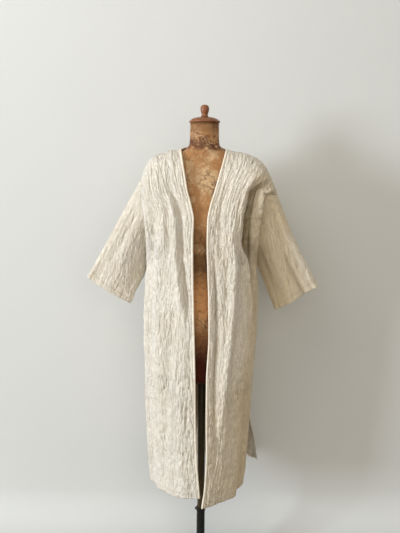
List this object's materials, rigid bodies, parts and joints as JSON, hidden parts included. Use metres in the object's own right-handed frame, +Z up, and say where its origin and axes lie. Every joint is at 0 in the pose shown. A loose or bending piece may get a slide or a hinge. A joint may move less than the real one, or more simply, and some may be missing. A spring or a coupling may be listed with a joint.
{
  "type": "long haori on a limbless dress form with a telescoping floor stand",
  "caption": "Long open-front cotton haori with wide three-quarter sleeves and side vents, worn by a limbless dress form on a pole stand.",
  "frame": {"origin": "on the floor under the pole's axis, middle of the stand's foot", "axes": "+Z up, the open front faces -Y, the wearer's left is +X"},
  "size_m": [0.7994, 0.3568, 1.6456],
  "materials": {
    "crinkled_cotton": "cream crinkled jacquard cotton",
    "edge_cotton": "plain cream cotton band",
    "aged_canvas": "aged brown painted canvas, cracked",
    "turned_wood": "worn stained wood",
    "grey_steel": "dark worn paint",
    "black_steel": "gloss black paint",
    "black_iron": "black painted iron"
  },
  "bodies": {
    "stand": {"stand_base": "black_iron", "stand_tube": "black_steel", "stand_collar": "black_steel", "clamp_screw": "black_steel"},
    "form": {"mast_pole": "grey_steel", "form_torso": "aged_canvas", "form_cap": "turned_wood", "form_finial": "turned_wood", "back_panel": "crinkled_cotton", "front_left": "crinkled_cotton", "front_right": "crinkled_cotton", "sleeve_left": "crinkled_cotton", "sleeve_right": "crinkled_cotton", "edge_band_left": "edge_cotton", "edge_band_right": "edge_cotton", "neck_band": "edge_cotton"}
  },
  "joints": [
    {"name": "height_slide", "type": "slide", "parent": "stand", "child": "form", "axis": [0, 0, 1], "range_m": [0, 0.12]}
  ]
}
